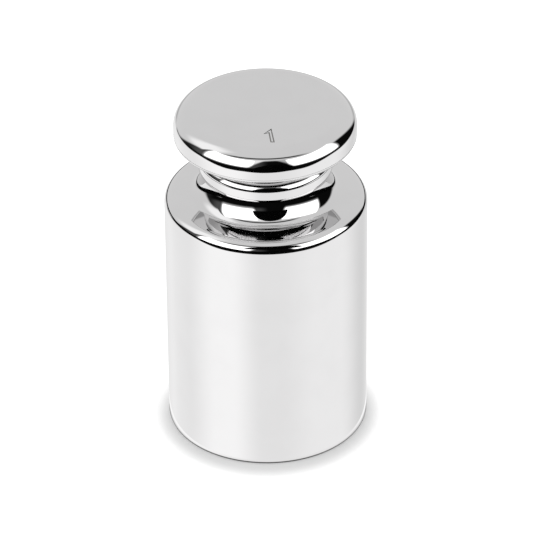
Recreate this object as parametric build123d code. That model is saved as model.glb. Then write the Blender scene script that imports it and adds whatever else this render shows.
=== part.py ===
from build123d import *
from math import atan, cos, degrees, radians, sin, tan
import os

# One-kilogram calibration weight, turned from a single piece of stainless steel.
# Millimetres, +Z up, origin at the centre of the base that the weight stands on.
# The whole outline is one half-section, drawn as radius against height and turned about Z.
# Angles of elliptic arcs are taken at the ellipse's centre, 0 outwards and 90 upwards.

# Driving dimensions: body
body_diameter = 48.0
body_height = 62.6
base_chamfer = 0.5
shoulder_edge_radius = 2.6
shoulder_fall = 5.5

# Driving dimensions: hollow foot, where the shoulder sweeps up into the neck
neck_diameter = 28.8
foot_width = 3.9
foot_height = 7.0
foot_stop_angle = 11.0

# Driving dimensions: rounded collar round the neck
collar_diameter = 31.6
collar_land_bottom = 7.7
collar_land_top = 8.85
collar_under_width = 1.75
collar_under_height = 3.8
collar_under_angle = 22.0
collar_top_radius = 1.9

# Driving dimensions: knob
knob_diameter = 43.0
knob_gap = 11.8
knob_underside_rise = 2.4
knob_lower_rim_radius = 1.75
knob_upper_rim_radius = 4.5
knob_height = 22.3

# Radii worked out from the above
body_radius = body_diameter / 2
neck_radius = neck_diameter / 2
collar_radius = collar_diameter / 2
stem_radius = collar_radius - collar_top_radius
knob_radius = knob_diameter / 2
foot_centre_radius = neck_radius + foot_width

# Heights worked out from the above
foot_centre_z = body_height + foot_height
collar_bottom_z = body_height + collar_land_bottom
collar_top_z = body_height + collar_land_top
knob_underside_z = body_height + knob_gap
knob_rim_bottom_z = knob_underside_z + knob_underside_rise
knob_top_z = body_height + knob_height
knob_wall_bottom_z = knob_rim_bottom_z + knob_lower_rim_radius
knob_wall_top_z = knob_top_z - knob_upper_rim_radius

# Shoulder: a shallow cone that leaves the hollow foot and meets the rounded edge without a crease
fall = radians(shoulder_fall)
foot_start = atan(tan(fall) * foot_width / foot_height)
foot_bottom = (
    foot_centre_radius - foot_width * sin(foot_start),
    foot_centre_z - foot_height * cos(foot_start),
)
edge_centre_radius = body_radius - shoulder_edge_radius
edge_top_radius = edge_centre_radius + shoulder_edge_radius * sin(fall)
edge_top_z = foot_bottom[1] - (edge_top_radius - foot_bottom[0]) * tan(fall)
edge_centre_z = edge_top_z - shoulder_edge_radius * cos(fall)


def body_lines():
    """Flat base, eased lower edge, straight wall, rounded shoulder edge and the shoulder."""
    Line((0, 0), (body_radius - base_chamfer, 0))
    Line((body_radius - base_chamfer, 0), (body_radius, base_chamfer))
    Line((body_radius, base_chamfer), (body_radius, edge_centre_z))
    CenterArc((edge_centre_radius, edge_centre_z), shoulder_edge_radius, 0, 90 - shoulder_fall)
    Line((edge_top_radius, edge_top_z), foot_bottom)


def neck_lines():
    """Hollow foot, collar with its undercut, and the stem up to the knob."""
    foot = EllipticalCenterArc(
        (foot_centre_radius, foot_centre_z),
        foot_width,
        foot_height,
        start_angle=180 + foot_stop_angle,
        arc_size=90 - foot_stop_angle - degrees(foot_start),
    )
    under = EllipticalCenterArc(
        (collar_radius - collar_under_width, collar_bottom_z),
        collar_under_width,
        collar_under_height,
        start_angle=-collar_under_angle,
        arc_size=collar_under_angle,
    )
    Line(foot @ 0, under @ 0)
    Line((collar_radius, collar_bottom_z), (collar_radius, collar_top_z))
    CenterArc((stem_radius, collar_top_z), collar_top_radius, 0, 90)
    Line((stem_radius, collar_top_z + collar_top_radius), (stem_radius, knob_underside_z))


def knob_lines():
    """Underside rising outwards, rounded rim with a short wall, flat top, and the axis down to the base."""
    lower_centre = (knob_radius - knob_lower_rim_radius, knob_wall_bottom_z)
    upper_centre = (knob_radius - knob_upper_rim_radius, knob_wall_top_z)
    Line((stem_radius, knob_underside_z), (lower_centre[0], knob_rim_bottom_z))
    CenterArc(lower_centre, knob_lower_rim_radius, -90, 90)
    Line((knob_radius, knob_wall_bottom_z), (knob_radius, knob_wall_top_z))
    CenterArc(upper_centre, knob_upper_rim_radius, 0, 90)
    Line((upper_centre[0], knob_top_z), (0, knob_top_z))
    Line((0, knob_top_z), (0, 0))


def make_weight():
    """Draw the half-section and turn it about the Z axis."""
    with BuildLine() as outline:
        body_lines()
        neck_lines()
        knob_lines()
    section = Plane.XZ * make_face(outline.line)
    return revolve(section, axis=Axis.Z, revolution_arc=360)


os.makedirs("parts", exist_ok=True)
weight = make_weight()
weight.label = "weight"
export_step(weight, "parts/weight.step")
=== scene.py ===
# One-kilogram calibration weight in polished stainless steel, on a white table in a white studio.
# Everything is in metres, +Z up, origin at the centre of the base.
import bpy
import math
from mathutils import Matrix, Vector
from mathutils.geometry import delaunay_2d_cdt


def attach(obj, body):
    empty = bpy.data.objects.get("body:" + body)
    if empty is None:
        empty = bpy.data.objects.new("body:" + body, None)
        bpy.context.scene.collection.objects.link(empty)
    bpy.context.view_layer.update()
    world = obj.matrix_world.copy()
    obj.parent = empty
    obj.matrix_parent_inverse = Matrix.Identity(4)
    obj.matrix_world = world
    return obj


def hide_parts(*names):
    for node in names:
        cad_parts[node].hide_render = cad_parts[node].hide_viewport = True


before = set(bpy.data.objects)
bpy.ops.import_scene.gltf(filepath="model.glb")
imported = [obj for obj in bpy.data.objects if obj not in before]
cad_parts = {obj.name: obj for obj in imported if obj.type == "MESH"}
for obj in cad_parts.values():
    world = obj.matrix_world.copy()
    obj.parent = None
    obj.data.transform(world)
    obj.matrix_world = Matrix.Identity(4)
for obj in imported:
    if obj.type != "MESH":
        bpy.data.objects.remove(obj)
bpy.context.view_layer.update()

MM = 0.001
AROUND = 320            # steps of the skin round its axis
NEARLY_BLACK = 0.004    # level of black cloth, where a white wall is about 1

# the camera as fitted to the outline in the photo: degrees, metres and millimetres of lens
camera_tilt = 33.171
camera_roll = -0.554
camera_place = (-0.000007, -0.81122, 0.50850)   # from the centre of the body's top
camera_lens = 274.52
camera_sensor = 36

# ---------------------------------------------------------------- sizes of the weight, mm
body_diameter = 48.0
body_height = 62.6
base_edge_radius = 0.8
shoulder_edge_radius = 2.6
shoulder_fall = 5.5

neck_diameter = 28.8
foot_width = 3.9
foot_height = 7.0
foot_stop_angle = 11.0

collar_diameter = 31.6
collar_land_bottom = 7.7
collar_land_top = 8.85
collar_under_width = 1.75
collar_under_height = 3.8
collar_under_angle = 22.0
collar_top_radius = 1.9

knob_diameter = 43.0
knob_gap = 11.8
knob_underside_rise = 2.4
knob_lower_rim_radius = 1.75
knob_upper_rim_radius = 4.5
knob_height = 22.3

body_radius = body_diameter / 2
collar_radius = collar_diameter / 2
stem_radius = collar_radius - collar_top_radius
knob_radius = knob_diameter / 2
foot_radius = neck_diameter / 2 + foot_width
flat_top_radius = knob_radius - knob_upper_rim_radius
knob_top = body_height + knob_height

# the figure engraved in the knob's top: its outline, and the width and depth of the cut
figure_outline = [(-0.24, -11.54), (1.34, -9.62), (1.99, -15.25), (1.30, -15.23), (0.87, -11.12)]
figure_cut_width = 0.30
figure_cut_depth = 0.12


# ---------------------------------------------------------------- camera
def add_camera():
    tilt = math.radians(camera_tilt)
    roll = math.radians(camera_roll)
    x, y, z = camera_place
    place = Vector((x, y, body_height * MM + z))
    back = Vector((0, -math.cos(tilt), math.sin(tilt)))
    right = Vector((1, 0, 0))
    up = right.cross(-back)
    right_r = math.cos(roll) * right + math.sin(roll) * up
    up_r = -math.sin(roll) * right + math.cos(roll) * up
    data = bpy.data.cameras.new("camera")
    camera = bpy.data.objects.new("camera", data)
    bpy.context.scene.collection.objects.link(camera)
    turn = Matrix((right_r, up_r, back)).transposed().to_4x4()
    turn.translation = place
    camera.matrix_world = turn
    data.sensor_width = camera_sensor
    data.lens = camera_lens
    data.clip_start = 0.01
    bpy.context.scene.camera = camera


# ---------------------------------------------------------------- the turned outline
def straight(r0, z0, r1, z1, steps=1):
    """Points of a straight run of the outline, each with its outward normal."""
    dr, dz = r1 - r0, z1 - z0
    size = math.hypot(dr, dz)
    return [
        (r0 + dr * k / steps, z0 + dz * k / steps, dz / size, -dr / size) for k in range(steps + 1)
    ]


def arc(cr, cz, width, height, start, end, steps, side=1):
    """Points of a circular or elliptic run, from one angle to the other; side is -1 on a hollow."""
    run = []
    for k in range(steps + 1):
        t = math.radians(start + (end - start) * k / steps)
        nr, nz = math.cos(t) / width, math.sin(t) / height
        size = math.hypot(nr, nz)
        run.append((
            cr + width * math.cos(t), cz + height * math.sin(t), side * nr / size, side * nz / size
        ))
    return run


def outline_runs():
    """The half-section from the base centre out and up to the edge of the knob's flat top."""
    fall = math.radians(shoulder_fall)
    foot_start = math.atan(math.tan(fall) * foot_width / foot_height)
    foot_z = body_height + foot_height
    foot = arc(foot_radius, foot_z, foot_width, foot_height,
               270 - math.degrees(foot_start), 180 + foot_stop_angle, 34, -1)
    edge = shoulder_edge_radius
    edge_r = body_radius - edge
    meet_r = edge_r + edge * math.sin(fall)
    meet_z = foot[0][1] - (meet_r - foot[0][0]) * math.tan(fall)
    edge_z = meet_z - edge * math.cos(fall)
    under = arc(collar_radius - collar_under_width, body_height + collar_land_bottom,
                collar_under_width, collar_under_height, -collar_under_angle, 0, 10)
    collar_top = body_height + collar_land_top
    stem_top = collar_top + collar_top_radius
    under_z = body_height + knob_gap
    lower = knob_lower_rim_radius
    wall_bottom = under_z + knob_underside_rise + lower
    wall_top = knob_top - knob_upper_rim_radius
    return [
        straight(0.5, 0, body_radius - base_edge_radius, 0, 4),
        arc(body_radius - base_edge_radius, base_edge_radius, base_edge_radius, base_edge_radius,
            -90, 0, 10),
        straight(body_radius, base_edge_radius, body_radius, edge_z, 12),
        arc(edge_r, edge_z, edge, edge, 0, 90 - shoulder_fall, 22),
        straight(meet_r, meet_z, foot[0][0], foot[0][1], 3),
        foot,
        straight(foot[-1][0], foot[-1][1], under[0][0], under[0][1]),
        under,
        straight(collar_radius, under[-1][1], collar_radius, collar_top),
        arc(stem_radius, collar_top, collar_top_radius, collar_top_radius, 0, 90, 14),
        straight(stem_radius, stem_top, stem_radius, under_z),
        straight(stem_radius, under_z, knob_radius - lower, wall_bottom - lower, 2),
        arc(knob_radius - lower, wall_bottom, lower, lower, -90, 0, 22),
        straight(knob_radius, wall_bottom, knob_radius, wall_top),
        arc(flat_top_radius, wall_top, knob_upper_rim_radius, knob_upper_rim_radius, 0, 90, 22),
    ]


# ---------------------------------------------------------------- the steel skin
def turning(loop):
    """1 for a loop that runs anticlockwise, else -1."""
    area = sum(loop[k - 1][0] * loop[k][1] - loop[k][0] * loop[k - 1][1] for k in range(len(loop)))
    return 1 if area > 0 else -1


def inside(p, loop):
    hit = False
    for k in range(len(loop)):
        (x0, y0), (x1, y1) = loop[k - 1], loop[k]
        if (y0 > p[1]) != (y1 > p[1]) and p[0] < (x1 - x0) * (p[1] - y0) / (y1 - y0) + x0:
            hit = not hit
    return hit


def offset_loop(points, distance):
    """The closed loop moved outwards by a distance, with mitred corners."""
    turn = turning(points)
    moved = []
    for k, (x, y) in enumerate(points):
        x0, y0 = points[k - 1]
        x1, y1 = points[(k + 1) % len(points)]
        before = Vector((x - x0, y - y0)).normalized()
        after = Vector((x1 - x, y1 - y)).normalized()
        n0 = Vector((before.y, -before.x)) * turn
        n1 = Vector((after.y, -after.x)) * turn
        mitre = (n0 + n1) / max(1 + n0.dot(n1), 0.35)
        moved.append((x + mitre.x * distance, y + mitre.y * distance))
    return moved


def build_skin(polished, marked):
    """The whole weight as one turned skin with exact normals, and the figure cut into its top."""
    verts = []
    faces = []
    normals = []
    slots = []
    circle = [(math.cos(2 * math.pi * k / AROUND), math.sin(2 * math.pi * k / AROUND))
              for k in range(AROUND)]

    def ring(r, z):
        first = len(verts)
        verts.extend((r * c * MM, r * s * MM, z * MM) for c, s in circle)
        return first

    previous = None
    for run in outline_runs():
        for k, (r, z, nr, nz) in enumerate(run):
            if k == 0 and previous is not None:
                previous = (previous[0], nr, nz)    # same ring, the new run's normal
                continue
            here = (ring(r, z), nr, nz)
            if previous is None:
                centre = len(verts)
                verts.append((0, 0, z * MM))
                for j in range(AROUND):
                    faces.append((centre, here[0] + (j + 1) % AROUND, here[0] + j))
                    normals.extend([(0, 0, -1)] * 3)
                    slots.append(0)
            else:
                a, b = previous, here
                for j in range(AROUND):
                    m = (j + 1) % AROUND
                    (c0, s0), (c1, s1) = circle[j], circle[m]
                    faces.append((a[0] + j, a[0] + m, b[0] + m, b[0] + j))
                    normals.extend([
                        (a[1] * c0, a[1] * s0, a[2]), (a[1] * c1, a[1] * s1, a[2]),
                        (b[1] * c1, b[1] * s1, b[2]), (b[1] * c0, b[1] * s0, b[2]),
                    ])
                    slots.append(0)
            previous = here
    rim = previous[0]

    # flat top with the outlined figure cut into it
    outer = offset_loop(figure_outline, figure_cut_width / 2)
    inner = offset_loop(figure_outline, -figure_cut_width / 2)
    flat = [(flat_top_radius * c, flat_top_radius * s) for c, s in circle]
    points = [Vector(p) for p in flat + outer + inner]
    edges = []
    start = 0
    for loop in (flat, outer, inner):
        edges += [(start + k, start + (k + 1) % len(loop)) for k in range(len(loop))]
        start += len(loop)
    out_points, _, tris, _, _, _ = delaunay_2d_cdt(points, edges, [], 0, 1e-7)

    top_of = {}
    deep_of = {}

    def top_vert(k):
        if k < AROUND:
            return rim + k
        if k not in top_of:
            top_of[k] = len(verts)
            verts.append((out_points[k].x * MM, out_points[k].y * MM, knob_top * MM))
        return top_of[k]

    def deep_vert(k):
        if k not in deep_of:
            deep_of[k] = len(verts)
            verts.append((out_points[k].x * MM, out_points[k].y * MM,
                          (knob_top - figure_cut_depth) * MM))
        return deep_of[k]

    for tri in tris:
        mid = sum((out_points[k] for k in tri), Vector((0, 0))) / 3
        if mid.length > flat_top_radius:
            continue
        cut = inside(mid, outer) and not inside(mid, inner)
        faces.append(tuple((deep_vert if cut else top_vert)(k) for k in tri))
        normals.extend([(0, 0, 1)] * 3)
        slots.append(1 if cut else 0)
    for loop, first, way in ((outer, AROUND, -1), (inner, AROUND + len(outer), 1)):
        for k in range(len(loop)):
            m = (k + 1) % len(loop)
            a, b = first + k, first + m
            edge = (out_points[b] - out_points[a]).normalized()
            side = Vector((edge.y, -edge.x, 0)) * way * turning(loop)
            start = len(verts)
            verts.extend((out_points[i].x * MM, out_points[i].y * MM, z * MM) for i, z in (
                (a, knob_top), (b, knob_top), (b, knob_top - figure_cut_depth),
                (a, knob_top - figure_cut_depth)))
            faces.append((start, start + 1, start + 2, start + 3))
            normals.extend([tuple(side)] * 4)
            slots.append(1)

    mesh = bpy.data.meshes.new("weight_surface")
    mesh.from_pydata(verts, [], faces)
    mesh.materials.append(polished)
    mesh.materials.append(marked)
    mesh.polygons.foreach_set("material_index", slots)
    mesh.polygons.foreach_set("use_smooth", [True] * len(faces))
    mesh.update()
    mesh.normals_split_custom_set(normals)
    skin = bpy.data.objects.new("weight_surface", mesh)
    bpy.context.scene.collection.objects.link(skin)
    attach(skin, "root")
    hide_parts("weight")


# ---------------------------------------------------------------- node helpers
class Nodes:
    """Short names for the few node kinds that the materials and the world use."""

    def __init__(self, owner):
        self.tree = owner.node_tree
        self.tree.nodes.clear()

    def add(self, kind, **values):
        node = self.tree.nodes.new(kind)
        for name, value in values.items():
            setattr(node, name, value)
        return node

    def put(self, socket, value):
        if hasattr(value, "is_output"):
            self.tree.links.new(value, socket)
        else:
            socket.default_value = value

    def math(self, operation, a, b=0.0, c=0.0):
        node = self.add("ShaderNodeMath", operation=operation)
        for socket, value in zip(node.inputs, (a, b, c)):
            self.put(socket, value)
        return node.outputs[0]

    def times(self, a, b):
        return self.math("MULTIPLY", a, b)

    def plus(self, a, b):
        return self.math("ADD", a, b)

    def minus(self, a, b):
        return self.math("SUBTRACT", a, b)

    def length(self, x, y):
        return self.math("SQRT", self.plus(self.times(x, x), self.times(y, y)))

    def azimuth(self, x, y):
        """Degrees round the axis: 0 towards the camera's side (-Y), positive to its right."""
        return self.times(self.math("ARCTAN2", x, self.times(y, -1.0)), 180 / math.pi)

    def step(self, value, low, high, to_low=0.0, to_high=1.0):
        """Smooth change from to_low to to_high while value goes from low to high."""
        node = self.add("ShaderNodeMapRange", interpolation_type="SMOOTHSTEP")
        for socket, v in zip(node.inputs, (value, low, high, to_low, to_high)):
            self.put(socket, v)
        return node.outputs[0]

    def mix(self, factor, a, b):
        """a where factor is 0, b where it is 1."""
        node = self.add("ShaderNodeMix", data_type="FLOAT")
        self.put(node.inputs[0], factor)
        self.put(node.inputs[2], a)
        self.put(node.inputs[3], b)
        return node.outputs[0]

    def band(self, value, low, high, soft):
        """1 between low and high, 0 outside, with soft edges."""
        rise = self.step(value, low - soft, low + soft)
        drop = self.step(value, high - soft, high + soft, 1.0, 0.0)
        return self.times(rise, drop)


# ---------------------------------------------------------------- materials
def polished_steel():
    """Mirror-polished steel with faint turning lines and a little haze."""
    material = bpy.data.materials.new("polished_steel")
    material.use_nodes = True
    n = Nodes(material)
    out = n.add("ShaderNodeOutputMaterial")
    shader = n.add("ShaderNodeBsdfPrincipled")
    n.tree.links.new(shader.outputs[0], out.inputs[0])
    shader.inputs["Metallic"].default_value = 1.0
    place = n.add("ShaderNodeTexCoord").outputs["Object"]
    split = n.add("ShaderNodeSeparateXYZ")
    n.put(split.inputs[0], place)
    x, y, z = split.outputs
    radius = n.length(x, y)

    # lines left by turning and lapping: they run round the axis, so they depend on radius and height
    turned = n.add("ShaderNodeCombineXYZ")
    n.put(turned.inputs[0], radius)
    n.put(turned.inputs[1], 0.0)
    n.put(turned.inputs[2], z)
    lines = n.add("ShaderNodeTexNoise")
    n.put(lines.inputs["Vector"], turned.outputs[0])
    lines.inputs["Scale"].default_value = 5200.0
    lines.inputs["Detail"].default_value = 3.0
    lines.inputs["Roughness"].default_value = 0.6

    # faint cloudiness from handling and wiping
    cloud = n.add("ShaderNodeTexNoise")
    n.put(cloud.inputs["Vector"], place)
    cloud.inputs["Scale"].default_value = 95.0
    cloud.inputs["Detail"].default_value = 4.0
    cloud.inputs["Roughness"].default_value = 0.55
    haze = n.step(cloud.outputs[0], 0.35, 0.75)

    line_part = n.times(lines.outputs[0], 0.018)
    rough = n.plus(n.plus(0.012, line_part), n.times(haze, 0.018))
    n.put(shader.inputs["Roughness"], rough)

    tone = n.add("ShaderNodeMix", data_type="RGBA")
    n.put(tone.inputs[0], n.times(haze, 0.6))
    tone.inputs[6].default_value = (0.650, 0.646, 0.648, 1)
    tone.inputs[7].default_value = (0.628, 0.623, 0.625, 1)
    n.put(shader.inputs["Base Color"], tone.outputs[2])

    bump = n.add("ShaderNodeBump")
    bump.inputs["Strength"].default_value = 0.04
    bump.inputs["Distance"].default_value = 0.000002
    n.put(bump.inputs["Height"], lines.outputs[0])
    n.put(shader.inputs["Normal"], bump.outputs[0])
    return material


def cut_steel_with_painted_shade():
    """The matt steel inside the engraved figure, its base colour darkened as painted shade in the
    narrow cut.
    """
    material = bpy.data.materials.new("engraved_steel_painted_shade")
    material.use_nodes = True
    n = Nodes(material)
    out = n.add("ShaderNodeOutputMaterial")
    shader = n.add("ShaderNodeBsdfPrincipled")
    n.tree.links.new(shader.outputs[0], out.inputs[0])
    shader.inputs["Metallic"].default_value = 1.0
    place = n.add("ShaderNodeTexCoord").outputs["Object"]
    grain = n.add("ShaderNodeTexNoise")
    n.put(grain.inputs["Vector"], place)
    grain.inputs["Scale"].default_value = 14000.0
    grain.inputs["Detail"].default_value = 2.0
    # dark base colour: painted shade in the cut; the grain varies it at random
    tone = n.add("ShaderNodeMix", data_type="RGBA")
    n.put(tone.inputs[0], grain.outputs[0])
    tone.inputs[6].default_value = (0.20, 0.195, 0.19, 1)
    tone.inputs[7].default_value = (0.34, 0.33, 0.32, 1)
    n.put(shader.inputs["Base Color"], tone.outputs[2])
    n.put(shader.inputs["Roughness"], n.step(grain.outputs[0], 0.2, 0.8, 0.38, 0.62))
    return material


# ---------------------------------------------------------------- studio
def floor_level(n, az):
    """How bright the steel sees the floor: brightest at the left, dimmest at the back."""
    level = n.step(az, -104, -62, 1.18, 1.40)
    level = n.mix(n.step(az, -42, -4), level, 1.17)
    level = n.mix(n.step(az, 14, 60), level, 1.26)
    level = n.mix(n.step(az, 92, 145), level, 0.90)
    return n.mix(n.step(az, -176, -136, 1.0, 0.0), level, 0.90)


def add_world():
    """What the steel mirrors: two soft boxes with grey between them, black cloth behind the camera
    and at both sides, a thin dark rail above the boxes, pale ceiling and back wall. It is a function
    of direction alone, tuned to the photo's view. Angles are in degrees; 1 is white."""
    world = bpy.data.worlds.new("studio")
    bpy.context.scene.world = world
    world.use_nodes = True
    n = Nodes(world)
    split = n.add("ShaderNodeSeparateXYZ")
    n.put(split.inputs[0], n.add("ShaderNodeTexCoord").outputs["Generated"])
    x, y, z = split.outputs
    az = n.azimuth(x, y)
    el = n.times(n.math("ARCSINE", z), 180 / math.pi)
    az_abs = n.math("ABSOLUTE", az)

    light = 0.90
    # paler wall on the far left
    light = n.mix(n.times(n.band(az, -112, -70, 10), n.band(el, 18, 62, 10)), light, 1.35)
    # screen above the camera, between the boxes: its right half is turned away from the light
    screen = n.step(az, -9, 3, 1.25, 0.90)
    screen = n.mix(n.step(az, 2, 8), screen, 0.62)
    light = n.mix(n.times(n.band(az, -16, 28, 2), n.band(el, 5, 43, 3)), light, screen)
    # the two soft boxes
    left_box = n.times(n.band(az, -77, -15, 1.5), n.band(el, 0, 41, 2.0))
    right_box = n.times(n.band(az, 27, 95, 1.5), n.band(el, -2, 38, 2.0))
    light = n.mix(left_box, light, 2.5)
    light = n.mix(right_box, light, 2.4)
    # thin dark rail, highest straight ahead
    sag = n.times(n.math("POWER", n.math("DIVIDE", az, 60.0), 2.0), 9.0)
    off_rail = n.math("ABSOLUTE", n.minus(el, n.minus(53.5, sag)))
    rail = n.times(n.step(off_rail, 2.5, 5.5, 1.0, 0.0), n.step(az_abs, 45, 72, 1.0, 0.0))
    light = n.mix(rail, light, 0.08)
    # the black cloth round the camera: a hump that narrows upwards
    hump_height = 46.0
    room_left = n.math("MAXIMUM", n.minus(1.0, n.math("DIVIDE", el, hump_height)), 0.0)
    hump_half = n.times(27.0, n.math("SQRT", room_left))
    off_hump = n.math("ABSOLUTE", n.minus(az, 6.0))
    hump = n.step(n.minus(off_hump, hump_half), -4.0, 3.0, 1.0, 0.0)
    hump = n.times(hump, n.step(el, 36, hump_height, 1.0, 0.0))
    light = n.mix(hump, light, n.step(az, -12, 4, 0.07, NEARLY_BLACK))
    # black cloth at both sides, its top edge sloping down to the back
    left_top = n.plus(n.step(az, -128, -84, -8, 22), n.step(az, -86, -79, 0.0, 20))
    right_top = n.step(az, 98, 155, 28, -12)
    left_side = n.step(n.minus(el, left_top), -6, 3, 1.0, 0.0)
    right_side = n.step(n.minus(el, right_top), -6, 3, 1.0, 0.0)
    left_flag = n.times(left_side, n.band(az, -136, -78, 3))
    right_flag = n.times(right_side, n.band(az, 97, 160, 2))
    light = n.mix(left_flag, light, n.step(az, -105, -84, 0.02, 0.10))
    light = n.mix(right_flag, light, NEARLY_BLACK)
    # dark room below the boxes, past the edge of the table
    low = n.times(n.step(el, -7, 1, 1.0, 0.0), n.band(az, -108, 138, 10))
    light = n.mix(low, light, NEARLY_BLACK)
    # dim floor far behind
    rear = n.times(n.step(el, -8, 2, 1.0, 0.0), n.step(az_abs, 138, 152))
    light = n.mix(rear, light, 0.55)
    # white floor as the steel sees it: it begins lower down in front than at the sides
    floor_top = n.step(az_abs, 45, 88, -28.5, -13.0)
    on_floor = n.step(n.minus(el, floor_top), -1.2, 1.2, 1.0, 0.0)
    light = n.mix(on_floor, light, floor_level(n, az))

    path = n.add("ShaderNodeLightPath")
    light = n.mix(path.outputs["Is Camera Ray"], light, 1.0)
    background = n.add("ShaderNodeBackground")
    n.put(background.inputs["Strength"], light)
    background.inputs["Color"].default_value = (1, 1, 1, 1)
    out = n.add("ShaderNodeOutputWorld")
    n.tree.links.new(background.outputs[0], out.inputs[0])


def plane(name, corners, faces, material):
    mesh = bpy.data.meshes.new(name)
    mesh.from_pydata(corners, [], faces)
    mesh.materials.append(material)
    item = bpy.data.objects.new(name, mesh)
    bpy.context.scene.collection.objects.link(item)
    return item


def circle_points(radius, z, count):
    turns = [2 * math.pi * k / count for k in range(count)]
    return [(radius * math.cos(t), radius * math.sin(t), z) for t in turns]


def band_faces(count):
    """Quads between two rings of points, given one after the other."""
    return [(k, count + k, count + (k + 1) % count, (k + 1) % count) for k in range(count)]


def add_table():
    """White table in two parts: a disc under the foot that the steel mirrors, and the floor round it
    that it doesn't, because there the steel sees the world's own floor instead. Both carry a painted
    shadow round the foot, and for the steel the disc glows with painted floor light."""
    material = bpy.data.materials.new("white_table")
    material.use_nodes = True
    n = Nodes(material)
    split = n.add("ShaderNodeSeparateXYZ")
    n.put(split.inputs[0], n.add("ShaderNodeTexCoord").outputs["Object"])
    x, y, _ = split.outputs
    # what the steel sees of the disc: a painted glow of lit floor, brighter to the left, with a
    # painted shadow ring where the foot keeps the light off
    glossy_glow_with_painted_shadow = n.times(floor_level(n, n.azimuth(x, y)), n.step(n.length(x, y), 0.0238, 0.0252))
    # what the camera sees: real shading, and a glow that fades near the foot, a painted shadow that
    # deepens the real one, a little more to the front
    off_front = n.length(x, n.plus(y, 0.0022))
    camera_glow_with_painted_shadow = n.plus(0.30, n.step(off_front, 0.0228, 0.0300, 0.0, 0.50))
    path = n.add("ShaderNodeLightPath")
    shader = n.add("ShaderNodeBsdfPrincipled")
    shader.inputs["Base Color"].default_value = (0.45, 0.45, 0.45, 1)
    shader.inputs["Roughness"].default_value = 0.6
    shader.inputs["Specular IOR Level"].default_value = 0.0
    shader.inputs["Emission Color"].default_value = (1, 1, 1, 1)
    n.put(shader.inputs["Emission Strength"], n.times(path.outputs["Is Camera Ray"], camera_glow_with_painted_shadow))
    # emission that the steel sees on the disc: painted floor light with a painted shadow ring
    bright = n.add("ShaderNodeEmission")
    n.put(bright.inputs["Strength"], glossy_glow_with_painted_shadow)
    either = n.add("ShaderNodeMixShader")
    n.put(either.inputs[0], path.outputs["Is Glossy Ray"])
    n.tree.links.new(shader.outputs[0], either.inputs[1])
    n.tree.links.new(bright.outputs[0], either.inputs[2])
    out = n.add("ShaderNodeOutputMaterial")
    n.tree.links.new(either.outputs[0], out.inputs[0])

    count = 96
    inner = circle_points(0.0256, 0, count)
    outer = circle_points(0.70, 0, count)
    plane("table", inner, [tuple(range(count))], material)
    floor = plane("floor", inner + outer, band_faces(count), material)
    floor.visible_glossy = False


def add_flags():
    """Black flags that only the steel mirrors: one close in front of the neck, one low round it."""
    material = bpy.data.materials.new("black_cloth")
    material.use_nodes = True
    shader = material.node_tree.nodes["Principled BSDF"]
    shader.inputs["Base Color"].default_value = (0.003, 0.003, 0.003, 1)
    shader.inputs["Roughness"].default_value = 1.0
    shader.inputs["Specular IOR Level"].default_value = 0.0
    outline = [
        (-0.0140, 0.0684), (0.0250, 0.0684), (0.0232, 0.0740), (0.0205, 0.0790),
        (0.0172, 0.0835), (0.0130, 0.0872), (0.0085, 0.0889), (0.0040, 0.0889),
        (-0.0005, 0.0872), (-0.0052, 0.0835), (-0.0090, 0.0790), (-0.0120, 0.0740),
    ]
    in_front = -0.041
    front = plane("flag", [(x, in_front, z) for x, z in outline],
                  [tuple(range(len(outline)))], material)
    count, radius = 96, 0.036
    rings = circle_points(radius, 0.0588, count) + circle_points(radius, 0.0615, count)
    round_neck = plane("ring_flag", rings, band_faces(count), material)
    for flag in (front, round_neck):
        flag.visible_camera = False
        flag.visible_diffuse = False
        flag.visible_shadow = False
        flag.visible_transmission = False


add_camera()
build_skin(polished_steel(), cut_steel_with_painted_shade())
add_world()
add_table()
add_flags()
bpy.context.scene.view_settings.view_transform = "Standard"

bpy.context.view_layer.update()
